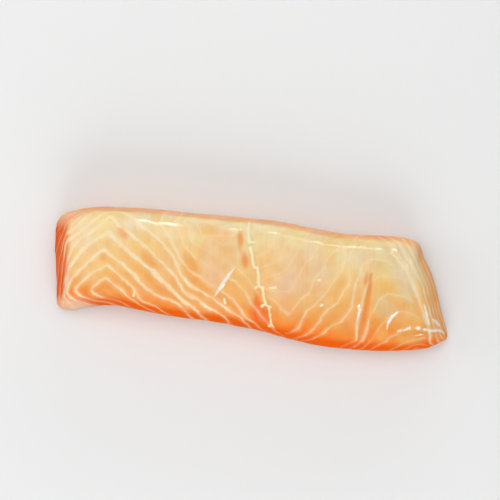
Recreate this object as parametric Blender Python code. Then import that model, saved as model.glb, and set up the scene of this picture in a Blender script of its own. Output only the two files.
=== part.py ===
"""A raw salmon fillet portion: one solid piece of flesh, lying on its flat skin side with the cut side up.

Blender 4.5, metres, +Z up. The origin is the middle of the flat underside, +X runs along the long side
towards the thin belly end, and +Y points to the straighter, steeper back edge.

The side is a stack of closed rings. The widest ring is the outline. Below it the rings tuck in to the flat
underside, and above it they climb the sloping wall and its shoulder. The crown inside the innermost ring is
triangulated. How high a point lies depends only on how far it is from the outline and on the thickness there.
"""

import math

import bmesh
import bpy
import numpy as np
from mathutils.geometry import delaunay_2d_cdt

MM = 0.001

# Driving dimensions, in millimetres.
LENGTH = 208.0
WIDTH = 62.5
HEIGHT = 27.0

# The outline as shares of half the length and half the width, counterclockwise from the front left corner.
OUTLINE = (
    (-0.925, -0.970),
    (-0.855, -0.985),
    (-0.765, -0.880),
    (-0.630, -0.806),
    (-0.380, -0.836),
    (0.000, -0.858),
    (0.345, -0.955),
    (0.640, -0.920),
    (0.860, -0.795),
    (0.968, -0.620),
    (0.998, -0.490),
    (0.950, -0.090),
    (0.893, 0.385),
    (0.825, 0.745),
    (0.775, 0.985),
    (0.650, 0.998),
    (0.380, 0.920),
    (0.060, 0.965),
    (-0.385, 0.890),
    (-0.690, 0.830),
    (-0.885, 0.700),
    (-0.986, 0.500),
    (-0.995, 0.160),
    (-0.967, -0.380),
    (-0.947, -0.800),
)

# The spine: its two ends, as shares of half the length and half the width.
SPINE_LEFT = (-0.790, 0.020)
SPINE_RIGHT = (0.780, 0.090)

# Thickness along the length: (share of half the length, share of the height). The back of the fish is on the
# left and thickest, the dip in the middle is the line of the pin bones, and the belly on the right is thinnest.
THICKNESS = (
    (-1.00, 0.90),
    (-0.72, 1.00),
    (-0.20, 0.98),
    (0.04, 0.93),
    (0.30, 0.93),
    (0.62, 0.84),
    (0.85, 0.72),
    (1.00, 0.60),
)
THICKNESS_SOFTENING = 0.16

# How far the sloping side wall reaches in from the outline on each side, in millimetres.
WALL_FRONT = 6.0
WALL_BACK = 3.2
WALL_LEFT = 8.5
WALL_RIGHT = 11.5
# The wall bulges a little below 1. The crown starts at this share of the thickness and swells to the whole of
# it at the spine. A higher shoulder power makes a sharper break between the two.
WALL_BULGE = 0.72
CROWN_EDGE = 0.90
SHOULDER_POWER = 7.0

# The tuck below the outline: (millimetres inwards, share of the outline's own height above the ground).
TUCK = (
    (2.4, 0.00),
    (1.0, 0.22),
    (0.3, 0.55),
)
OUTLINE_HEIGHT = 4.0

COLUMNS = 168
# The rings above the outline are this share of the way to the spine, closest together over the wall.
RING_INSETS = (0.006, 0.02, 0.045, 0.08, 0.12, 0.165, 0.21, 0.255, 0.30, 0.35, 0.41, 0.48, 0.56, 0.65)
CROWN_SPACING = 4.2
CREASE_SMOOTHINGS = 8

FLESH_COLOUR = (0.93, 0.42, 0.17, 1.0)
FLESH_ROUGHNESS = 0.35


def clear_scene():
    for obj in list(bpy.data.objects):
        bpy.data.objects.remove(obj, do_unlink=True)


def closed_spline(knots, steps=24):
    """Points along a closed Catmull-Rom curve through the knots."""
    knots = np.array(knots, float)
    before, after, beyond = (np.roll(knots, shift, axis=0) for shift in (1, -1, -2))
    t = np.linspace(0.0, 1.0, steps, endpoint=False)[:, None, None]
    curve = 0.5 * (
        2.0 * knots
        + (after - before) * t
        + (2.0 * before - 5.0 * knots + 4.0 * after - beyond) * t**2
        + (3.0 * knots - before - 3.0 * after + beyond) * t**3
    )
    return curve.transpose(1, 0, 2).reshape(-1, 2)


def evenly_spaced(curve, count):
    """A closed curve resampled to points the same distance apart."""
    closed = np.vstack([curve, curve[:1]])
    run = np.concatenate([[0.0], np.cumsum(np.linalg.norm(np.diff(closed, axis=0), axis=1))])
    wanted = np.linspace(0.0, run[-1], count, endpoint=False)
    return np.stack([np.interp(wanted, run, closed[:, axis]) for axis in (0, 1)], axis=1)


def outline_points():
    """The outline in millimetres, centred on its own box and stretched to the stated length and width."""
    points = evenly_spaced(closed_spline(OUTLINE), COLUMNS)
    low, high = points.min(axis=0), points.max(axis=0)
    return (points - (low + high) / 2) / (high - low) * (LENGTH, WIDTH)


def outward_normals(points):
    along = np.roll(points, -1, axis=0) - np.roll(points, 1, axis=0)
    normals = np.stack([along[:, 1], -along[:, 0]], axis=1)
    return normals / np.linalg.norm(normals, axis=1, keepdims=True)


def towards_spine(points):
    """For each point of the outline, the way to its nearest point on the spine."""
    left, right = (np.array(end) * (LENGTH / 2, WIDTH / 2) for end in (SPINE_LEFT, SPINE_RIGHT))
    run = right - left
    share = np.clip((points - left) @ run / (run @ run), 0.0, 1.0)
    return left + share[:, None] * run - points


def nearest_on_loop(points, loop):
    """How far each point is from a closed loop, and the place of the nearest loop point in its list."""
    start, run = loop, np.roll(loop, -1, axis=0) - loop
    way = points[:, None] - start
    share = np.clip((way * run).sum(axis=2) / (run * run).sum(axis=1), 0.0, 1.0)
    gaps = np.linalg.norm(way - share[..., None] * run, axis=2)
    return gaps.min(axis=1), gaps.argmin(axis=1)


def thickness(x):
    """Full height of the crown at x, in millimetres: THICKNESS with its corners rounded off."""
    stations, shares = np.array(THICKNESS).T
    offsets = np.linspace(-THICKNESS_SOFTENING, THICKNESS_SOFTENING, 21)
    weights = np.hanning(23)[1:-1]
    spread = np.interp(np.asarray(x)[:, None] / (LENGTH / 2) + offsets, stations, shares)
    return HEIGHT * (spread @ weights) / weights.sum()


def wall_width(normals):
    """How far the wall reaches inwards at each outline point, blended by the way the outline faces there."""
    x, y = normals.T
    sideways = np.where(x < 0, WALL_LEFT, WALL_RIGHT)
    across = np.where(y < 0, WALL_FRONT, WALL_BACK)
    return sideways * x**2 + across * y**2


def heights(points, outline, widths):
    """The height of the flesh over each plan point: the lower of wall and crown, with the break rounded."""
    distance, nearest = nearest_on_loop(points, outline)
    wall = (distance / widths[nearest]) ** WALL_BULGE
    swelling = np.sin(np.minimum(distance / (WIDTH / 2), 1.0) * math.pi / 2)
    crown = CROWN_EDGE + (1.0 - CROWN_EDGE) * swelling
    share = wall * crown / (wall**SHOULDER_POWER + crown**SHOULDER_POWER) ** (1.0 / SHOULDER_POWER)
    return OUTLINE_HEIGHT + (thickness(points[:, 0]) - OUTLINE_HEIGHT) * share


def crown_grid(ring):
    """Plan points for the crown: a grid of staggered rows inside the ring, kept clear of it."""
    low, high = ring.min(axis=0), ring.max(axis=0)
    columns = np.arange(low[0], high[0], CROWN_SPACING)
    rows = np.arange(low[1], high[1], CROWN_SPACING * math.sqrt(3) / 2)
    x, y = np.meshgrid(columns, rows)
    x[1::2] += CROWN_SPACING / 2
    points = np.column_stack([x.ravel(), y.ravel()])
    distance, nearest = nearest_on_loop(points, ring)
    inside = ((points - ring[nearest]) * outward_normals(ring)[nearest]).sum(axis=1) < 0
    return points[inside & (distance > CROWN_SPACING / 2)]


def with_height(plan, height):
    return np.column_stack([plan, np.broadcast_to(height, len(plan))])


def flesh_material():
    material = bpy.data.materials.new("salmon_flesh")
    material.use_nodes = True
    shader = material.node_tree.nodes["Principled BSDF"]
    shader.inputs["Base Color"].default_value = FLESH_COLOUR
    shader.inputs["Roughness"].default_value = FLESH_ROUGHNESS
    shader.inputs["Metallic"].default_value = 0.0
    return material


def add_ring(bm, points, below=None):
    """A ring of new vertices, joined by a band of faces to the ring below it."""
    ring = [bm.verts.new(point * MM) for point in points]
    if below:
        for a in range(COLUMNS):
            b = (a + 1) % COLUMNS
            bm.faces.new((below[a], below[b], ring[b], ring[a]))
    return ring


def add_crown(bm, ring, ring_plan, height_of):
    """Triangles over everything inside the innermost ring. Returns the new vertices."""
    grid = crown_grid(ring_plan)
    plan = np.vstack([ring_plan, grid])
    rim = [(a, (a + 1) % COLUMNS) for a in range(COLUMNS)]
    only_inside = 1
    triangles = delaunay_2d_cdt([tuple(p) for p in plan], rim, [], only_inside, 1e-5)[2]
    inner = [bm.verts.new(point * MM) for point in with_height(grid, height_of(grid))]
    verts = ring + inner
    for triangle in triangles:
        bm.faces.new([verts[corner] for corner in triangle])
    return inner


def make_fillet():
    outline = outline_points()
    normals = outward_normals(outline)
    widths = wall_width(normals)
    inwards = towards_spine(outline)

    def height_of(plan):
        return heights(plan, outline, widths)

    bm = bmesh.new()
    ring = None
    for tucked, share in TUCK:
        ring = add_ring(bm, with_height(outline - normals * tucked, share * OUTLINE_HEIGHT), ring)
    bm.verts.ensure_lookup_table()
    bm.faces.new(bm.verts[:COLUMNS][::-1])
    ring = add_ring(bm, with_height(outline, OUTLINE_HEIGHT), ring)
    upper = []
    for inset in RING_INSETS:
        plan = outline + inwards * inset
        ring = add_ring(bm, with_height(plan, height_of(plan)), ring)
        upper += ring
    upper += add_crown(bm, ring, plan, height_of)
    for _ in range(CREASE_SMOOTHINGS):
        bmesh.ops.smooth_vert(bm, verts=upper, factor=0.5, use_axis_z=True)
    bmesh.ops.recalc_face_normals(bm, faces=bm.faces)

    mesh = bpy.data.meshes.new("fillet")
    bm.to_mesh(mesh)
    bm.free()
    mesh.shade_smooth()
    mesh.set_sharp_from_angle(angle=math.radians(50))
    mesh.materials.append(flesh_material())
    fillet = bpy.data.objects.new("fillet", mesh)
    bpy.context.scene.collection.objects.link(fillet)


clear_scene()
make_fillet()
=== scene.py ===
"""The looks of the raw salmon fillet: a finely shaped copy of the CAD solid with wet, marbled flesh.

Places on the fillet are in millimetres from the middle of its underside: x runs towards the thin belly
end and y towards the back edge. The white lines are the thin sheets of fat between the blocks of muscle.
A few lines are drawn as chains of points, and every vertex stores a phase that is a whole number
on each line, so that the material can draw them sharp. On the side walls the pattern carries on
downwards, as if the wall were unrolled.
"""

import math

import bmesh
import bpy
import numpy as np
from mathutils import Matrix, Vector, noise


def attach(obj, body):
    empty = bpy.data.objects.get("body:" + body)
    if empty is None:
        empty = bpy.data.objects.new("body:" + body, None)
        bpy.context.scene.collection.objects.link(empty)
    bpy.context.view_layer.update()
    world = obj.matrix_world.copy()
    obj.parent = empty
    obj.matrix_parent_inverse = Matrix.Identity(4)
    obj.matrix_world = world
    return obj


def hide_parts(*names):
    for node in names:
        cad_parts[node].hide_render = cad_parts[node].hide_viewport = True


MM = 0.001

# The camera looks straight down from this place, turned so that the long side falls to the right.
CAMERA_PLACE = (-3.3, 13.2)
CAMERA_HEIGHT = 1000.0
CAMERA_TURN = math.radians(8.44)
VIEW_WIDTH = 259.0
SENSOR = 36.0

# The fine mesh.
VOXEL = 0.67
CAD_SUBDIVISIONS = 2
SMOOTH_PASSES = 14
# The mesh is halved this close to the small strokes, above this share of the height.
FINER_REACH = 1.4
FINER_ABOVE = 0.5

# Where the side wall starts, as a share of the flesh's thickness, and how many millimetres of pattern lie
# on each millimetre down the wall.
WALL_TOP = 0.86
UNROLL = 0.85

# The crown's height is read at stations this far apart.
CREST_ENDS = (-90.0, 86.0)
CREST_STEP = 5.0

# Fat lines of the back of the fish: nested chevrons, from the innermost to the outermost.
BACK_LINES = (
    ((-50, -50), (-64, -29), (-76, -22), (-80, -18.5), (-77, -14.5), (-73, -11.2), (-61, -19.5),
     (-50, -32), (-40, -50)),
    ((-58, -50), (-70, -33), (-88.5, -19.5), (-82, -12), (-74, -4.5), (-58, -15), (-54, -20.5),
     (-44, -27), (-32, -50)),
    ((-66, -50), (-78, -35), (-92.5, -21.5), (-90, -14), (-83, -4.5), (-76.7, 3), (-65, -4),
     (-55.5, -10.5), (-51.5, -15), (-35, -19), (-31.5, -23), (-24, -50)),
    ((-74, -50), (-86, -38), (-95, -26), (-93, -10), (-88, -1), (-82, 6.5), (-75.5, 12), (-65, 4),
     (-50, -5.3), (-40, -12), (-31.5, -18), (-25, -22), (-17, -50)),
    ((-84, -52), (-96, -40), (-97, -18), (-94, -2), (-90, 5), (-84, 11), (-76, 19.5), (-66, 13.5),
     (-50, 3), (-40, -4.5), (-33, -12), (-25, -16.5), (-12, -23), (-6, -50)),
    ((-96, -54), (-106, -40), (-103, -18), (-97, 2), (-88, 12), (-78, 22), (-72, 24.5), (-60, 17.8),
     (-49, 11.5), (-41, 4), (-35.5, -5), (-27, -10.5), (-16, -15), (-3, -22), (6, -50)),
    ((-108, -50), (-114, -30), (-107, -8), (-97, 7.5), (-88, 16.5), (-74, 34), (-60, 48), (-48, 38),
     (-50, 20), (-45, 14.5), (-36, 2), (-30, -2.5), (-20, -6.5), (-8, -13), (4, -26), (14, -50)),
    ((-120, -44), (-122, -22), (-111, -2), (-98, 12), (-82, 32), (-60, 58), (-40, 44), (-42, 20),
     (-36, 10), (-29, 5), (-24, 1.5), (-16, -0.5), (-6, -5), (10, -22), (24, -50)),
    ((-128, -10), (-114, 6), (-97, 16), (-82, 42), (-58, 68), (-32, 50), (-38, 22), (-33, 13.5),
     (-28, 10), (-18, 7.5), (-8, 3), (10, -12)),
    ((-134, 4), (-114, 14), (-97, 24), (-80, 54), (-54, 78), (-24, 56), (-34, 27), (-29, 17),
     (-23, 15.5), (-16, 13.3), (-12, 20), (-2, 36)),
)
# Fat lines of the belly, from the bones to the flap. They climb from the front edge to the right.
BELLY_LINES = (
    ((4, -2), (12, 3), (17, 7), (19, 13), (22, 19), (26, 32), (28, 44)),
    ((6, -4), (14, -6), (19.5, -4.5), (23.5, 3), (25.5, 9.5), (28.3, 16), (31, 20.5), (38, 30),
     (40, 44)),
    ((4, -6), (14, -11), (20.5, -16.5), (25.5, -8.5), (29.6, -3), (31, 3.5), (34.8, 10), (37, 16),
     (40.2, 19.4), (42.2, 21.6), (42.6, 30), (44, 46)),
    ((14, -44), (26, -24), (30, -13.5), (35, -7), (40, 1), (45, 9.5), (45.4, 15), (43.6, 19.4),
     (42.8, 22), (43.2, 30), (46, 46)),
    ((22, -46), (32, -25), (39, -13), (45, -5), (49.3, 3), (46.6, 12.5), (48.6, 24), (52, 44)),
    ((26, -48), (40, -21.5), (47, -17), (52, -9.5), (52.2, 6), (54, 13), (59, 18), (70, 16.5),
     (82, 24), (96, 40)),
    ((48, -48), (56.6, -24), (57.2, -6), (59, 5.5), (63, 10), (70, 10), (79, 9), (88, 16)),
    ((54, -48), (59.5, -24), (62, -12), (63.5, -5), (68.5, 1.4), (74, 1.8), (82, -0.5), (90, -4)),
    ((58, -50), (64, -26), (67, -17.5), (71, -10), (76, -6.3), (82, -6.5), (94, -13)),
    ((62, -50), (70, -26), (74, -20), (80, -14.5), (88, -13.5), (100, -18)),
    ((74, -52), (80, -25), (84, -20.5), (92, -18.5), (104, -24)),
)
# Fat lines of the thin flap, from the one that borders the belly to the right edge.
FLAP_LINES = (
    ((58, 40), (68, 23), (76, 15), (81, 9), (85.5, 0), (89, -7), (92.5, -12), (98, -24),
     (112, -48)),
    ((64, 42), (74, 23), (81, 15), (86.5, 9), (91, 1), (94.5, -6), (98, -12), (104, -24),
     (120, -46)),
    ((70, 44), (79, 24), (85.5, 15), (91, 9), (95.5, 1), (99, -6), (102, -12), (109, -24),
     (128, -46)),
    ((75, 46), (83, 27), (89.5, 17), (95, 10), (99.5, 2), (103, -6), (107, -12), (115, -24),
     (135, -44)),
    ((80, 48), (88, 30), (94, 20), (100, 12), (104.5, 2), (108, -6), (113, -12), (122, -24),
     (142, -44)),
    ((88, 50), (94, 34), (100, 23), (106, 13), (110, 2), (114, -6), (120, -12), (130, -24),
     (150, -44)),
)
BACK_WIDTHS = (1.1, 1.2, 1.3, 1.9, 1.4, 1.3, 1.0, 0.7, 0.5, 0.5)
BELLY_WIDTHS = (0.3, 0.5, 0.6, 0.7, 0.8, 0.8, 0.5, 0.6, 0.5, 0.5, 0.6)
FLAP_WIDTHS = (1.6, 1.3, 1.5, 1.3, 1.2, 1.0)
# The flap's pattern starts this far before its first line.
FLAP_SEAM = 2.2
# Chains are sampled this finely, run on past their ends and rounded off over this length.
SAMPLE = 0.5
END_REACH = 60.0
CORNER_WINDOW = 3.0
# The spacing beyond the first and last line of the back, the belly and the flap.
OUTER_SPACINGS = (7.0, 6.0, 4.5)
BATCH = 20000

# The line of the pin bones, as strokes of fat: (x, y, radius) along each.
BONE_STROKES = (
    ((-5.6, 26.5, 0.5), (-5.0, 21.0, 0.6), (-4.2, 17.8, 0.9)),
    ((-4.2, 17.4, 0.6), (-1.4, 17.2, 0.35)),
    ((-2.8, 14.0, 1.1), (-1.8, 11.0, 0.65), (-0.8, 7.5, 0.7), (0.1, 5.0, 0.5)),
    ((-0.2, 4.8, 0.4), (2.2, 4.9, 0.5)),
    ((2.0, 5.0, 0.6), (3.0, 1.0, 0.65), (3.5, -2.5, 0.6), (4.6, -4.6, 0.4)),
    ((3.6, -4.2, 0.4), (2.3, -5.2, 0.6)),
    ((4.6, -4.4, 0.3), (6.0, -4.4, 0.5)),
    ((6.0, -4.6, 0.65), (7.0, -9.0, 0.55), (8.6, -12.6, 0.7)),
    ((8.6, -12.6, 0.5), (6.9, -14.0, 0.7)),
    ((8.6, -12.8, 0.4), (10.9, -13.8, 0.6)),
    ((10.5, -14.2, 0.5), (11.6, -18.0, 0.4), (13.0, -22.5, 0.45), (15.0, -24.8, 0.3)),
    ((13.0, -22.5, 0.4), (12.1, -23.8, 0.8)),
    ((9.3, -4.2, 0.35), (12.4, -3.6, 0.6)),
)

# Small pale specks where glints shine, drawn the same way as raised fat; their pale colour is a painted
# highlight.
PAINTED_GLINT_FLECKS = (
    ((-57.8, -16.2, 0.4), (-57.9, -18.3, 0.6)),
    ((36.2, -9.4, 0.5), (37.0, -9.0, 0.6)),
    ((33.2, 3.0, 0.5), (33.8, 3.5, 0.4)),
    ((-12.4, -13.2, 0.4), (-11.8, -15.0, 0.6)),
)

# Ridges where the wet membrane is creased, drawn like the bones' strokes; their pale colour is a painted
# highlight.
CREASES_AND_PAINTED_GLINTS = (
    ((-9.4, 3.6, 0.2), (-12.0, -1.0, 0.8), (-15.4, -8.0, 0.8), (-17.6, -12.4, 0.2)),
    ((55.4, -7.0, 0.8), (56.2, -9.0, 0.7), (55.6, -14.0, 0.3)),
    ((75.6, -7.0, 0.2), (73.0, -10.0, 0.7), (71.4, -13.0, 0.7), (71.2, -16.0, 0.3)),
    ((76.8, -16.4, 0.3), (78.4, -15.8, 0.6)),
    ((79.6, -15.8, 0.3), (82.8, -14.0, 0.6)),
    ((86.2, -13.6, 0.7), (87.6, -13.4, 0.7)),
    ((90.2, -13.6, 0.5), (94.0, -14.0, 0.7), (99.0, -13.2, 0.7), (101.4, -14.6, 0.3)),
    ((94.0, -8.0, 0.3), (96.6, -9.4, 0.9), (98.4, -11.0, 0.4)),
    ((88.6, -1.5, 0.3), (91.0, -7.0, 0.6), (92.4, -11.0, 0.3)),
)
# The raised lips of the fold where two blocks have come apart, and the valley between them.
LIPS = (
    ((58.6, 6.0, 0.3), (57.2, -1.0, 0.9), (57.0, -8.0, 0.8), (55.8, -16.0, 0.7), (57.0, -24.0, 0.4)),
    ((61.4, -13.0, 0.4), (61.6, -18.0, 0.6), (60.2, -25.0, 0.4)),
)
VALLEY = (
    ((59.4, 10.0, 0.6), (59.4, 2.0, 1.4), (59.2, -8.0, 1.4), (58.6, -18.0, 1.3), (58.6, -24.0, 0.5)),
)
# The smooth patch of membrane left on the flesh beside the bones.
MEMBRANE_CORNERS = (
    (-27, 17), (-13.5, 19), (-10.5, 15), (-9.5, 3), (-17, -12), (-25, -5), (-30, 4), (-27, 17),
)
# Hollows in the crown: (place, radii, turn in degrees, depth).
HOLLOWS = (
    ((4.0, 0.0), (27.0, 6.0), -68.0, 0.7),
    ((-5.0, 7.5), (7.0, 2.6), -75.0, 0.9),
    ((-8.6, 18.0), (8.0, 2.0), -82.0, 0.6),
    ((4.5, -16.0), (9.0, 2.2), -80.0, 0.6),
    ((9.0, -19.0), (7.0, 1.8), -72.0, 0.5),
    ((41.0, 10.0), (9.0, 3.5), 55.0, 0.4),
)

# Relief in millimetres.
LUMPS = ((24.0, 0.35, 3), (9.0, 0.16, 4), (4.0, 0.07, 10))  # (size, height, seed)
BLOCK_HEIGHT = 0.30
BLOCK_LESS_ON_WALLS = 0.20
BLOCK_MORE_ON_LEFT_WALL = 0.40
BLOCK_FULL_GAP = 6.0
MEMBRANE_HEIGHT = 0.25
BONE_HEIGHT = 0.75
CREASE_HEIGHT = 0.40
LIP_HEIGHT = 0.45
VALLEY_DEPTH = 0.70

# Colours are linear RGB. Across the crown the flesh goes from deep orange at the front to pale yellow at
# the back.
CROWN_COLOURS = (
    (-24.0, (0.96, 0.22, 0.02)),
    (-17.0, (0.93, 0.38, 0.09)),
    (-6.0, (0.93, 0.53, 0.19)),
    (6.0, (0.92, 0.63, 0.28)),
    (20.0, (0.88, 0.74, 0.43)),
)
FAT = (0.96, 0.79, 0.52)
HALO = (0.95, 0.72, 0.38)
# The pale fat of the pin bones, also laid on the flecks as a painted highlight.
BONE_FAT_AND_PAINTED_GLINT = (0.97, 0.84, 0.54)
MEMBRANE = (0.90, 0.58, 0.32)
# Painted highlight: the pale colour of the glints drawn along the creases.
PAINTED_GLINT = (0.99, 0.93, 0.84)
FRONT_WALL = (0.96, 0.14, 0.00)
LEFT_WALL = (0.90, 0.11, 0.00)
BACK_WALL = (0.94, 0.50, 0.28)
RIGHT_WALL = (0.92, 0.36, 0.14)
UNDERSIDE = (0.86, 0.40, 0.17)
ORANGE = (0.88, 0.36, 0.09)
DEEP_ORANGE = (0.90, 0.30, 0.06)
RED = (0.92, 0.18, 0.03)
GOLD = (0.92, 0.56, 0.16)
PINK = (0.97, 0.60, 0.42)
ROSE = (0.95, 0.42, 0.20)
BEIGE = (0.87, 0.62, 0.39)
YELLOW = (0.82, 0.70, 0.46)
GREY = (0.79, 0.58, 0.32)
CREAM = (0.94, 0.74, 0.44)
# The flesh's colour is multiplied by this where it is deepest.
DEEPER = (0.99, 0.76, 0.48, 1.0)
# Mottling: (size, seed, strengths for red, green and blue). The small lumps are lighter or deeper, and the
# large ones pinker or more golden.
MOTTLES = (
    (5.0, 6, (0.02, 0.05, 0.08)),
    (12.0, 12, (0.0, 0.022, 0.22)),
)
# Soft spots of colour on the crown: (colour, place, radii, turn in degrees, amount).
TINTS = (
    (CREAM, (-86, 8), (16, 14), 40, 0.9),
    (CREAM, (-84, -8), (12, 12), 40, 0.5),
    (ORANGE, (-68, 12.5), (5, 3.5), -50, 0.7),
    (ORANGE, (-53, 0), (9, 4.5), -50, 0.6),
    (ORANGE, (-52, -8), (4, 3), -40, 0.5),
    (ORANGE, (-44, -14), (6, 3), -30, 0.8),
    (ORANGE, (-32, 2), (10, 5), -50, 0.6),
    (ORANGE, (-28, -7), (10, 4), -40, 0.6),
    (ORANGE, (-88, -14), (8, 3), 45, 0.5),
    (ORANGE, (-22, 19), (15, 5), -5, 0.45),
    (ORANGE, (-76, -1), (3, 3), 0, 0.5),
    (BEIGE, (25, 4), (26, 20), 40, 0.75),
    (YELLOW, (70, 18), (26, 12), -20, 0.7),
    (YELLOW, (79, 6), (9, 12), 20, 0.7),
    (GREY, (69, -6), (9, 9), 0, 0.6),
    (GOLD, (67, 4), (9, 5), -10, 0.35),
    (GOLD, (84, 5), (6, 8), 20, 0.5),
    (GOLD, (82, -18), (9, 5), 10, 0.7),
    (GOLD, (70, -20), (6, 5), 0, 0.6),
    (ORANGE, (-8.6, 17), (8, 2.2), -82, 0.8),
    (RED, (-5, 7.5), (6.5, 2.4), -75, 0.55),
    (RED, (4.5, -15), (12, 3), -80, 0.7),
    (RED, (10, -20), (8, 3), -72, 0.8),
    (RED, (6, -19), (10, 6), -70, 0.8),
    (CREAM, (-44, 17), (16, 6), -5, 0.9),
    (GOLD, (38, 23), (18, 4.5), -2, 0.35),
    (RED, (57, 7), (6, 1.5), 88, 0.5),
    (ORANGE, (85, -19), (22, 6), 10, 0.6),
    (ORANGE, (91, 0), (12, 2.0), -62, 0.6),
)
# Soft spots that lie over the walls as well.
WALL_TINTS = (
    (PINK, (-88, -29), (16, 7), -5, 0.95),
    (PINK, (-100, 16), (9, 6), 40, 0.7),
    (PINK, (-92.5, -10), (14, 2.4), 88, 0.6),
    (LEFT_WALL, (-80, 26), (16, 3.5), 10, 0.5),
    (FRONT_WALL, (60, 30.5), (22, 2.5), 2, 0.4),
)

# Where thinner lines lie between the main ones, and how many to each: (place, radii, turn in degrees).
FINE_SPOTS = (
    ((-106, -6), (13, 40), 0),
    ((-90, 20), (19, 10), 25),
    ((-82, -29), (26, 8), -5),
)
FINE_LINES = 3.0

# Where the flesh is wettest: (place, radii, turn in degrees, amount). Elsewhere it has the dull amount.
WET_SPOTS = (
    ((-55, 23), (20, 5), -4, 1.0),
    ((-14, 26), (11, 4.5), 0, 1.0),
    ((5, 26.5), (9, 4.5), 0, 1.0),
    ((34, 25.5), (28, 4.5), -2, 1.0),
    ((67, 24.5), (11, 6), -10, 1.0),
    ((82, 16), (9, 5), -40, 0.6),
    ((-13.5, -4.5), (11, 2.2), 63, 1.0),
    ((56, -10), (9, 2.5), 85, 1.0),
    ((73, -11), (7, 2.2), 62, 1.0),
    ((91, -15), (16, 4), 10, 1.0),
    ((96, -8), (10, 4), -65, 0.8),
)
DULL = 0.06

# Strengths in the material.
HALO_STRENGTH = 0.7
FINE_STRENGTH = 0.6
FAT_STRENGTH = 0.9
# How strongly the painted highlight along the creases is laid on.
PAINTED_GLINT_STRENGTH = 0.85
# Noise in the material, in lumps per metre. The muscle fibres run along the fish, which lies across the
# fillet.
FIBRE_NOISE = (900.0, 90.0, 400.0)
FIBRE_TURN = math.radians(-9.0)
GRAIN_NOISE = 420.0
RIPPLE_NOISE = 260.0
WIDTH_NOISE = 170.0
CLOUD_NOISE = 150.0
PATCH_NOISE = 130.0
FILM_NOISE = 110.0
DRY_NOISE = 90.0
BUMP_STRENGTH = 0.22
BUMP_DISTANCE = 0.12 * MM

WORLD_STRENGTH = 0.48
# How bright the floor is to the camera, as a source of light and in highlights, and its reach in metres.
FLOOR_SEEN = 0.84
FLOOR_LIGHT = 0.30
FLOOR_MIRRORED = 0.05
FLOOR_REACH = 4.0


def mm(*values):
    return [value * MM for value in values]


def smoothstep(low, high, value):
    share = np.clip((value - low) / (high - low), 0.0, 1.0)
    return share * share * (3.0 - 2.0 * share)


def blob(plan, place, radii, turn=0.0):
    """A soft spot: 1 at its middle and 0 outside. Its radii lie along its own axes, turned in degrees."""
    angle = math.radians(turn)
    x, y = (plan - place).T
    along = (x * math.cos(angle) + y * math.sin(angle)) / radii[0]
    across = (y * math.cos(angle) - x * math.sin(angle)) / radii[1]
    return 1.0 - smoothstep(0.25, 1.0, np.hypot(along, across))


def wander(points, size, seed):
    """Smooth noise from about -1 to 1, whose lumps are about size millimetres across."""
    offset = Vector((seed * 17.0, seed * 5.0, seed * 11.0))
    return np.array([noise.noise(Vector(point) / size + offset) for point in points.tolist()]) * 1.6


# --- The fine mesh ---


def fine_copy(node):
    """A new object with the CAD node's shape, as an even mesh that is fine enough for small relief."""
    piece = bpy.data.objects.new("fillet_flesh", node.data.copy())
    bpy.context.scene.collection.objects.link(piece)
    merge = piece.modifiers.new("merge", "WELD")
    merge.merge_threshold = 0.01 * MM
    rounding = piece.modifiers.new("rounding", "SUBSURF")
    rounding.levels = rounding.render_levels = CAD_SUBDIVISIONS
    remesh = piece.modifiers.new("remesh", "REMESH")
    remesh.mode = "VOXEL"
    remesh.voxel_size = VOXEL * MM
    evening = piece.modifiers.new("evening", "SMOOTH")
    evening.factor = 0.5
    evening.iterations = SMOOTH_PASSES
    graph = bpy.context.evaluated_depsgraph_get()
    mesh = bpy.data.meshes.new_from_object(piece.evaluated_get(graph))
    piece.modifiers.clear()
    piece.data = mesh
    mesh.materials.clear()
    refine(mesh, BONE_STROKES + PAINTED_GLINT_FLECKS + CREASES_AND_PAINTED_GLINTS + LIPS)
    mesh.shade_smooth()
    return piece


def refine(mesh, strokes):
    """Halves the mesh spacing on the crown around the strokes, whose relief is the smallest."""
    points = places(mesh)
    high = points[:, 2] > FINER_ABOVE * points[:, 2].max()
    near = high & (strokes_inside(points[:, :2], strokes) > -FINER_REACH)
    bm = bmesh.new()
    bm.from_mesh(mesh)
    edges = [edge for edge in bm.edges if all(near[vert.index] for vert in edge.verts)]
    bmesh.ops.subdivide_edges(bm, edges=edges, cuts=1, use_grid_fill=True)
    bm.to_mesh(mesh)
    bm.free()


def places(mesh):
    values = np.empty(len(mesh.vertices) * 3)
    mesh.vertices.foreach_get("co", values)
    return values.reshape(-1, 3) / MM


def facings(mesh):
    values = np.empty(len(mesh.vertices) * 3)
    mesh.vertices.foreach_get("normal", values)
    return values.reshape(-1, 3)


def move_to(mesh, points):
    mesh.vertices.foreach_set("co", (points * MM).ravel())
    mesh.update()


def store(mesh, name, values):
    kind = "FLOAT" if values.ndim == 1 else "FLOAT_COLOR"
    attribute = mesh.attributes.new(name, kind, "POINT")
    if values.ndim == 1:
        attribute.data.foreach_set("value", values.astype(np.float32))
    else:
        rgba = np.column_stack([values, np.ones(len(values))])
        attribute.data.foreach_set("color", rgba.astype(np.float32).ravel())


# --- The pattern of fat lines ---


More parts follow.
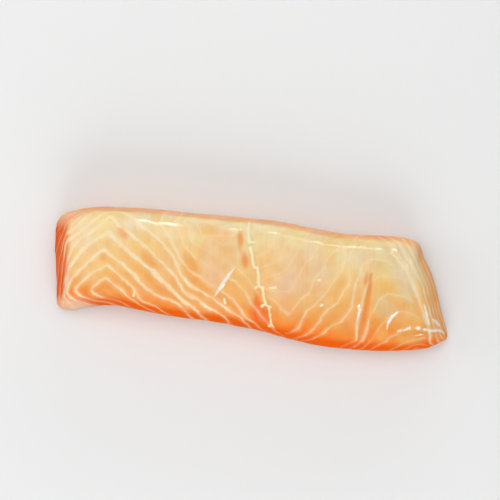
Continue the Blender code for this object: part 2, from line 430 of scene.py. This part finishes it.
def chain(knots):
    """Even samples along a chain of knots, run on straight past both ends, and the direction at each.

    The corners are rounded off.
    """
    knots = np.array(knots, float)
    for end, inner in ((0, 1), (-1, -2)):
        way = knots[end] - knots[inner]
        knots[end] += way / np.linalg.norm(way) * END_REACH
    run = np.concatenate([[0.0], np.cumsum(np.linalg.norm(np.diff(knots, axis=0), axis=1))])
    wanted = np.arange(0.0, run[-1], SAMPLE)
    samples = np.stack([np.interp(wanted, run, knots[:, axis]) for axis in (0, 1)], axis=1)
    half = int(CORNER_WINDOW / SAMPLE)
    weights = np.hanning(2 * half + 3)[1:-1]
    weights /= weights.sum()
    padded = np.pad(samples, ((half, half), (0, 0)), mode="edge")
    samples = np.stack([np.convolve(padded[:, axis], weights, "valid") for axis in (0, 1)], axis=1)
    ways = np.gradient(samples, axis=0)
    return samples, ways / np.linalg.norm(ways, axis=1, keepdims=True)


def side_distance(plan, knots):
    """How far each point is from a chain, in millimetres: positive on its left, negative on its right."""
    samples, ways = chain(knots)
    result = np.empty(len(plan))
    for start in range(0, len(plan), BATCH):
        part = plan[start:start + BATCH]
        square = (part**2).sum(axis=1)[:, None] + (samples**2).sum(axis=1) - 2.0 * part @ samples.T
        nearest = square.argmin(axis=1)
        gap = part - samples[nearest]
        way = ways[nearest]
        beside = way[:, 0] * gap[:, 1] - way[:, 1] * gap[:, 0]
        along = np.maximum(np.abs((way * gap).sum(axis=1)) - SAMPLE, 0.0)
        result[start:start + BATCH] = np.where(beside < 0, -1.0, 1.0) * np.hypot(beside, along)
    return result


def phase_of(plan, lines, spacing):
    """(phase, gap): a whole number on each line that rises to its left, and the distance between lines."""
    distances = np.array([side_distance(plan, knots) for knots in lines])
    rows = np.arange(len(plan))
    passed = (np.cumprod(distances >= 0, axis=0)).sum(axis=0)
    below = distances[np.maximum(passed - 1, 0), rows]
    above = distances[np.minimum(passed, len(lines) - 1), rows]
    gap = np.where((passed > 0) & (passed < len(lines)), below - above, spacing)
    phase = np.where(passed > 0, passed - 1 + below / gap, above / gap)
    return phase, gap


def bone_side(plan):
    """Which side of the pinbone line a point is on, in millimetres: positive towards the belly."""
    knots = [stroke[-1][:2] for stroke in BONE_STROKES if stroke[0][1] - stroke[-1][1] > 3.0]
    line = [(-9, 60)] + [BONE_STROKES[0][0][:2]] + knots + [(30, -60)]
    return side_distance(plan, line)


def strokes_inside(plan, strokes):
    """How far inside the nearest stroke each point is, in millimetres: negative outside.

    Strokes are chains of (x, y, radius).
    """
    best = np.full(len(plan), -99.0)
    for stroke in strokes:
        for start, end in zip(np.array(stroke[:-1]), np.array(stroke[1:])):
            run = end[:2] - start[:2]
            share = np.clip((plan - start[:2]) @ run / (run @ run), 0.0, 1.0)
            gap = np.linalg.norm(plan - start[:2] - share[:, None] * run, axis=1)
            best = np.maximum(best, start[2] + share * (end[2] - start[2]) - gap)
    return best


# --- Where things are on the fillet ---


def crest(points):
    """The height of the crown at each point's x."""
    stations = np.arange(*CREST_ENDS, CREST_STEP)
    tops = [points[np.abs(points[:, 0] - x) < CREST_STEP / 2, 2].max() for x in stations]
    return np.interp(points[:, 0], stations, tops)


def width_at(phase, widths):
    return np.interp(phase, np.arange(len(widths)), widths)


def survey(mesh):
    """The fields that the relief, the colours and the material all use, for every vertex."""
    points, normals = places(mesh), facings(mesh)
    plan = points[:, :2]
    below = WALL_TOP * crest(points) - points[:, 2]
    depth = np.maximum(below, 0.0)
    under = smoothstep(0.3, 0.8, -normals[:, 2])
    outwards = normals[:, :2] / np.maximum(np.linalg.norm(normals[:, :2], axis=1), 0.3)[:, None]
    wobble = np.column_stack([wander(points, 7.0, 1), wander(points, 7.0, 2)]) * 0.6
    wobble += np.column_stack([wander(points, 2.6, 8), wander(points, 2.6, 9)]) * 0.22
    unrolled = plan + outwards * (UNROLL * depth * (1.0 - under))[:, None] + wobble

    # The belly's lines are listed from the bones, and their phase rises from the flap.
    families = zip((BACK_LINES, BELLY_LINES[::-1], FLAP_LINES), OUTER_SPACINGS)
    (back, back_gap), (belly, belly_gap), (flap, flap_gap) = [
        phase_of(unrolled, lines, spacing) for lines, spacing in families
    ]
    past_bones = bone_side(unrolled)
    past_belly = side_distance(unrolled, FLAP_LINES[0]) + FLAP_SEAM
    family = [past_belly > 0, past_bones < 0]
    field = {
        "points": points,
        "normals": normals,
        "plan": plan,
        "below": below,
        "under": under,
        "wall": smoothstep(0.5, 6.0, depth) * (1.0 - under),
        "phase": np.select(family, [flap, back], belly),
        "gap": np.select(family, [flap_gap, back_gap], belly_gap),
    }
    widths = [width_at(flap, FLAP_WIDTHS), width_at(back, BACK_WIDTHS)]
    field["width"] = np.select(family, widths, width_at(belly, BELLY_WIDTHS[::-1]))
    rim = smoothstep(0.2, 2.5, points[:, 2]) + under
    seams = smoothstep(0.6, 2.2, np.abs(past_bones)) * smoothstep(0.5, 1.1, np.abs(past_belly))
    field["membrane"] = membrane(plan)
    quiet = 1.0 - 0.65 * field["membrane"]
    field["fat"] = np.clip(rim, 0, 1) * seams * quiet
    field["fat"] *= np.interp(field["width"], (0.3, 1.2), (0.35, 1.0))
    # On the walls the lines are cut across, so they are finer and fainter.
    field["fat"] *= 1.0 - 0.35 * field["wall"]
    field["width"] *= 1.0 - 0.40 * field["wall"]
    field["fine"] = np.max([blob(unrolled, *spot) for spot in FINE_SPOTS], axis=0) * np.clip(rim, 0, 1)
    wettest = np.max([amount * blob(plan, *spot) for *spot, amount in WET_SPOTS], axis=0)
    field["wet"] = (DULL + (1.0 - DULL) * wettest) * (1.0 - field["wall"])
    # Distance inside the creases, for their raised ridges and for their painted highlight.
    field["creases"] = strokes_inside(plan, CREASES_AND_PAINTED_GLINTS) + 0.14 * wander(points, 1.9, 11)
    # The pin bones' fat and the flecks, whose pale colour is a painted highlight.
    field["bones"] = strokes_inside(plan, BONE_STROKES + PAINTED_GLINT_FLECKS) + 0.16 * wander(points, 1.7, 7)
    return field


def membrane(plan):
    """1 on the patch of membrane and 0 off it."""
    corners = np.array(MEMBRANE_CORNERS, float)
    inside = np.full(len(plan), 99.0)
    for start, end in zip(corners[:-1], corners[1:]):
        way = (end - start) / np.linalg.norm(end - start)
        inside = np.minimum(inside, (plan - start) @ np.array([way[1], -way[0]]))
    return smoothstep(-0.8, 0.8, inside)


# --- Relief ---


def relief(field):
    """How far each vertex moves along its normal, in millimetres."""
    points, plan = field["points"], field["plan"]
    crown = 1.0 - field["wall"]
    blocks = np.sin(math.pi * field["phase"]) ** 2 - 0.5
    size = np.minimum(field["gap"] / BLOCK_FULL_GAP, 1.0) * field["fat"]
    left_wall = field["wall"] * smoothstep(-88.0, -94.0, plan[:, 0])
    swell = BLOCK_HEIGHT - BLOCK_LESS_ON_WALLS * field["wall"] + BLOCK_MORE_ON_LEFT_WALL * left_wall
    height = blocks * size * swell
    for lump, rise, seed in LUMPS:
        height += rise * wander(points, lump, seed)
    for place, radii, turn, depth in HOLLOWS:
        height -= depth * blob(plan, place, radii, turn) * crown
    height += MEMBRANE_HEIGHT * field["membrane"] * crown
    height += BONE_HEIGHT * smoothstep(-0.35, 0.75, field["bones"]) * crown
    height += CREASE_HEIGHT * smoothstep(-0.6, 0.7, field["creases"]) * crown
    height += LIP_HEIGHT * smoothstep(-0.9, 0.8, strokes_inside(plan, LIPS)) * crown
    height -= VALLEY_DEPTH * smoothstep(-1.0, 1.0, strokes_inside(plan, VALLEY)) * crown
    return height * smoothstep(0.3, 3.0, points[:, 2])


# --- Colour ---


def flesh_colours(field):
    """The colour of the flesh between the fat lines, as linear RGB for every vertex."""
    points, plan = field["points"], field["plan"]
    across = plan[:, 1] + 3.0 * wander(points, 20.0, 5)
    stops = [stop for stop, _ in CROWN_COLOURS]
    colours = np.array([colour for _, colour in CROWN_COLOURS])
    result = np.column_stack([np.interp(across, stops, colours[:, band]) for band in range(3)])

    def lay(colour, amount):
        result[:] += (np.array(colour) - result) * np.clip(amount, 0.0, 1.0)[:, None]

    for colour, place, radii, turn, amount in TINTS:
        lay(colour, amount * blob(plan, place, radii, turn))
    lay(MEMBRANE, 0.6 * field["membrane"])
    lay(DEEP_ORANGE, 0.75 * smoothstep(-0.8, 0.8, strokes_inside(plan, VALLEY)))
    lay(CREAM, 0.65 * smoothstep(-0.6, 0.6, strokes_inside(plan, LIPS)))
    below, above = field["below"], 1.0 - field["under"]
    to_right, to_back, _ = field["normals"].T
    lay(FRONT_WALL, above * smoothstep(0.0, 6.0, below) * smoothstep(0.2, 0.8, -to_back))
    lay(LEFT_WALL, above * smoothstep(-2.5, 0.8, below) * smoothstep(0.15, 0.6, -to_right))
    lay(BACK_WALL, above * smoothstep(0.5, 5.0, below) * smoothstep(0.2, 0.8, to_back))
    lay(RIGHT_WALL, above * smoothstep(0.5, 6.0, below) * smoothstep(0.4, 0.9, to_right) * 0.7)
    for colour, place, radii, turn, amount in WALL_TINTS:
        lay(colour, amount * blob(plan, place, radii, turn))
    lay(UNDERSIDE, field["under"] * 0.8)
    for size, seed, strengths in MOTTLES:
        result *= 1.0 + wander(points, size, seed)[:, None] * strengths
    return np.clip(result, 0.0, 1.0)


# --- Material ---


class Nodes:
    """Short ways to add shader nodes to one material."""

    def __init__(self, material):
        material.use_nodes = True
        self.tree = material.node_tree
        self.shader = self.tree.nodes["Principled BSDF"]

    def add(self, kind, inputs, output=0, **settings):
        made = self.tree.nodes.new(kind)
        for name, value in settings.items():
            setattr(made, name, value)
        for key, value in inputs.items():
            if isinstance(value, bpy.types.NodeSocket):
                self.tree.links.new(value, made.inputs[key])
            else:
                made.inputs[key].default_value = value
        return made.outputs[output]

    def feed(self, name, output):
        self.tree.links.new(output, self.shader.inputs[name])

    def attribute(self, name, output="Fac"):
        return self.add("ShaderNodeAttribute", {}, output, attribute_name=name)

    def maths(self, operation, *values, clamp=False):
        return self.add("ShaderNodeMath", dict(enumerate(values)), operation=operation, use_clamp=clamp)

    def mix(self, amount, first, second, blend="MIX"):
        inputs = {0: amount, 6: first, 7: second}
        return self.add("ShaderNodeMix", inputs, 2, data_type="RGBA", blend_type=blend)

    def noise(self, scale, turn=0.0, detail=2.0):
        """Noise with lumps of one size, or stretched ones where the scale is three numbers."""
        place = self.add("ShaderNodeTexCoord", {}, "Object")
        if not isinstance(scale, tuple):
            scale = (scale, scale, scale)
        turned = self.add("ShaderNodeMapping", {"Vector": place, "Rotation": (0.0, 0.0, turn)})
        sized = self.add("ShaderNodeMapping", {"Vector": turned, "Scale": scale})
        return self.add("ShaderNodeTexNoise", {"Vector": sized, "Scale": 1.0, "Detail": detail})


def muscle_colour(nodes, phase, patches, fibres):
    """Blocks that are deepest just inside their outer lines, with fine fibres and cloudy patches."""
    inner = nodes.maths("MULTIPLY_ADD", nodes.maths("FRACT", phase), 1.5, -0.6, clamp=True)
    block = nodes.maths("MULTIPLY_ADD", nodes.maths("MULTIPLY", inner, nodes.attribute("fat")), 0.8, 0.4)
    cloud = nodes.maths("MULTIPLY_ADD", nodes.noise(CLOUD_NOISE), 2.4, -0.8, clamp=True)
    streak_depth = nodes.maths("MULTIPLY", patches, 1.2)
    streaks = nodes.maths("MULTIPLY", nodes.maths("SUBTRACT", fibres, 0.4), streak_depth)
    depth = nodes.maths("ADD", streaks, nodes.maths("MULTIPLY", block, cloud))
    tint = nodes.attribute("flesh_colour", "Color")
    return nodes.mix(depth, tint, nodes.mix(1.0, tint, DEEPER, "MULTIPLY"))


def with_fat(nodes, colour, phase, patches):
    """The colour with the fat's halo, the thinner lines and the fat lines laid over it."""
    fat = nodes.attribute("fat")
    width = nodes.attribute("width")
    # How far the nearest line is, in millimetres.
    away = nodes.maths("MULTIPLY", nodes.maths("PINGPONG", phase, 0.5), nodes.attribute("gap"))

    # The fat fades into the flesh over a few millimetres, further beside the wide lines.
    fade = nodes.maths("DIVIDE", away, nodes.maths("MULTIPLY_ADD", width, 1.6, 1.2))
    halo = nodes.maths("SUBTRACT", 1.0, fade, clamp=True)
    halo = nodes.maths("MULTIPLY", nodes.maths("MULTIPLY", halo, fat), patches)
    colour = nodes.mix(nodes.maths("MULTIPLY", halo, HALO_STRENGTH), colour, (*HALO, 1.0))

    between = nodes.maths("PINGPONG", nodes.maths("MULTIPLY", phase, FINE_LINES), 0.5)
    fine = nodes.maths("MULTIPLY_ADD", nodes.maths("SUBTRACT", 0.2, between), 5.0, 0.5, clamp=True)
    fine = nodes.maths("MULTIPLY", fine, nodes.maths("MULTIPLY", nodes.attribute("fine"), patches))
    colour = nodes.mix(nodes.maths("MULTIPLY", fine, FINE_STRENGTH), colour, (*ROSE, 1.0))

    wavering = nodes.maths("MULTIPLY_ADD", nodes.noise(WIDTH_NOISE), 1.5, -0.25)
    half = nodes.maths("MULTIPLY", width, wavering)
    line = nodes.maths("ADD", nodes.maths("SUBTRACT", half, away), 0.5, clamp=True)
    strength = nodes.maths("MULTIPLY", fat, nodes.maths("MULTIPLY_ADD", patches, 1.5, 0.05))
    line = nodes.maths("MULTIPLY", line, strength)
    return nodes.mix(nodes.maths("MULTIPLY", line, FAT_STRENGTH), colour, (*FAT, 1.0))


def add_wet_film(nodes, fibres):
    """A thin, broken film of water over the flesh, which is smoother under it and faintly grained."""
    film = nodes.maths("MULTIPLY_ADD", nodes.noise(FILM_NOISE), 4.0, -1.3, clamp=True)
    film = nodes.maths("MULTIPLY", film, nodes.attribute("wet"))
    dryness = nodes.maths("MULTIPLY_ADD", nodes.noise(DRY_NOISE), 0.3, 0.4)
    dryness = nodes.maths("MULTIPLY_ADD", film, -0.3, dryness)
    grain = nodes.maths("ADD", nodes.maths("MULTIPLY", fibres, 0.6), nodes.noise(GRAIN_NOISE))
    inputs = {"Height": grain, "Strength": BUMP_STRENGTH, "Distance": BUMP_DISTANCE}
    nodes.feed("Coat Weight", film)
    nodes.feed("Roughness", dryness)
    nodes.feed("Normal", nodes.add("ShaderNodeBump", inputs, "Normal"))
    nodes.shader.inputs["Coat Roughness"].default_value = 0.13


def flesh_material():
    material = bpy.data.materials.new("salmon_flesh")
    nodes = Nodes(material)
    patches = nodes.noise(PATCH_NOISE)
    fibres = nodes.noise(FIBRE_NOISE, FIBRE_TURN)
    ripple = nodes.maths("MULTIPLY_ADD", nodes.noise(RIPPLE_NOISE), 0.16, -0.08)
    phase = nodes.maths("ADD", nodes.attribute("phase"), ripple)
    colour = muscle_colour(nodes, phase, patches, fibres)
    colour = with_fat(nodes, colour, phase, patches)
    # The pin bones' pale fat, and the painted highlight of the flecks.
    colour = nodes.mix(nodes.attribute("bone"), colour, (*BONE_FAT_AND_PAINTED_GLINT, 1.0))
    # Painted highlight: the creases are drawn pale, as glints that stay in every light.
    colour = nodes.mix(nodes.attribute("painted_glint"), colour, (*PAINTED_GLINT, 1.0))
    nodes.feed("Base Color", colour)
    add_wet_film(nodes, fibres)
    nodes.shader.inputs["IOR"].default_value = 1.36
    nodes.shader.inputs["Specular IOR Level"].default_value = 0.12
    nodes.shader.inputs["Subsurface Weight"].default_value = 0.15
    nodes.shader.inputs["Subsurface Scale"].default_value = 2.0 * MM
    nodes.shader.inputs["Subsurface Radius"].default_value = (1.0, 0.4, 0.2)
    return material


# --- The fillet ---


def make_fillet(node):
    piece = fine_copy(node)
    mesh = piece.data
    field = survey(mesh)
    move_to(mesh, field["points"] + field["normals"] * relief(field)[:, None])
    store(mesh, "phase", field["phase"])
    store(mesh, "gap", field["gap"])
    store(mesh, "width", field["width"])
    store(mesh, "fat", field["fat"])
    store(mesh, "fine", field["fine"])
    store(mesh, "wet", field["wet"])
    store(mesh, "flesh_colour", flesh_colours(field))
    # The bones' fat and the flecks' painted highlight, as a mask for the material.
    bones = smoothstep(-0.35, 0.25, field["bones"])
    store(mesh, "bone", bones * (1.0 - field["wall"]) * (1.0 - field["under"]))
    # The creases' painted highlight, as a mask for the material.
    creases = smoothstep(-0.3, 0.4, field["creases"])
    store(mesh, "painted_glint", PAINTED_GLINT_STRENGTH * creases * (1.0 - field["under"]))
    mesh.materials.append(flesh_material())
    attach(piece, "root")
    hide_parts("fillet")
    return piece


# --- Camera, light and floor ---


def add_camera():
    data = bpy.data.cameras.new("camera")
    data.sensor_width = SENSOR
    data.lens = SENSOR * CAMERA_HEIGHT / VIEW_WIDTH
    camera = bpy.data.objects.new("camera", data)
    camera.location = mm(*CAMERA_PLACE, CAMERA_HEIGHT)
    camera.rotation_euler = (0.0, 0.0, CAMERA_TURN)
    bpy.context.scene.collection.objects.link(camera)
    bpy.context.scene.camera = camera


def add_area_light(name, place, size, power, shine=True, light=True):
    """A white lamp that faces the fillet: place and size in millimetres, and power in watts.

    Without shine it makes no highlight, and without light it makes nothing else.
    """
    data = bpy.data.lights.new(name, "AREA")
    data.shape = "RECTANGLE"
    data.size, data.size_y = mm(*size)
    data.energy = power
    lamp = bpy.data.objects.new(name, data)
    lamp.location = mm(*place)
    lamp.visible_glossy = shine
    lamp.visible_diffuse = light
    lamp.rotation_euler = (-Vector(lamp.location)).to_track_quat("-Z", "Y").to_euler()
    bpy.context.scene.collection.objects.link(lamp)


def grey(value):
    return (value, value, value, 1.0)


def add_floor():
    mesh = bpy.data.meshes.new("floor")
    corners = [(x * FLOOR_REACH, y * FLOOR_REACH, 0.0) for x, y in ((-1, -1), (1, -1), (1, 1), (-1, 1))]
    mesh.from_pydata(corners, [], [(0, 1, 2, 3)])
    floor = bpy.data.objects.new("floor", mesh)
    material = bpy.data.materials.new("floor")
    nodes = Nodes(material)
    seen = nodes.add("ShaderNodeLightPath", {}, "Is Camera Ray")
    mirrored = nodes.add("ShaderNodeLightPath", {}, "Is Glossy Ray")
    colour = nodes.mix(mirrored, grey(FLOOR_LIGHT), grey(FLOOR_MIRRORED))
    colour = nodes.mix(seen, colour, grey(FLOOR_SEEN))
    nodes.feed("Base Color", colour)
    nodes.shader.inputs["Roughness"].default_value = 0.9
    mesh.materials.append(material)
    bpy.context.scene.collection.objects.link(floor)


def add_world():
    world = bpy.data.worlds.new("studio")
    world.use_nodes = True
    background = world.node_tree.nodes["Background"]
    background.inputs["Color"].default_value = grey(1.0)
    background.inputs["Strength"].default_value = WORLD_STRENGTH
    bpy.context.scene.world = world


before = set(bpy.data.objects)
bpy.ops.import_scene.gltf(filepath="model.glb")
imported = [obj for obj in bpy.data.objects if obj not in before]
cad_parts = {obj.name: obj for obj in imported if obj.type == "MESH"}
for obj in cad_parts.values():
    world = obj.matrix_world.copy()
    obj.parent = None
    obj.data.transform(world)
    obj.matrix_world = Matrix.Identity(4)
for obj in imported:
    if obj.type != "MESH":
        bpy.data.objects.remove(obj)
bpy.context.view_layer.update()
add_camera()
add_world()
add_floor()
add_area_light("key", (-150, 350, 1000), (600, 600), 2.3)
add_area_light("front fill", (100, -900, 450), (900, 500), 5.0, shine=False)
add_area_light("back fill", (100, 900, 150), (900, 300), 3.5, shine=False)
add_area_light("left fill", (-900, 0, 350), (500, 500), 2.0, shine=False)
add_area_light("back glare", (0, 520, 870), (1500, 230), 26.0, light=False)
add_area_light("right glare", (700, -620, 500), (300, 200), 3.5, light=False)
make_fillet(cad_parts["fillet"])
bpy.context.scene.view_settings.view_transform = "Standard"
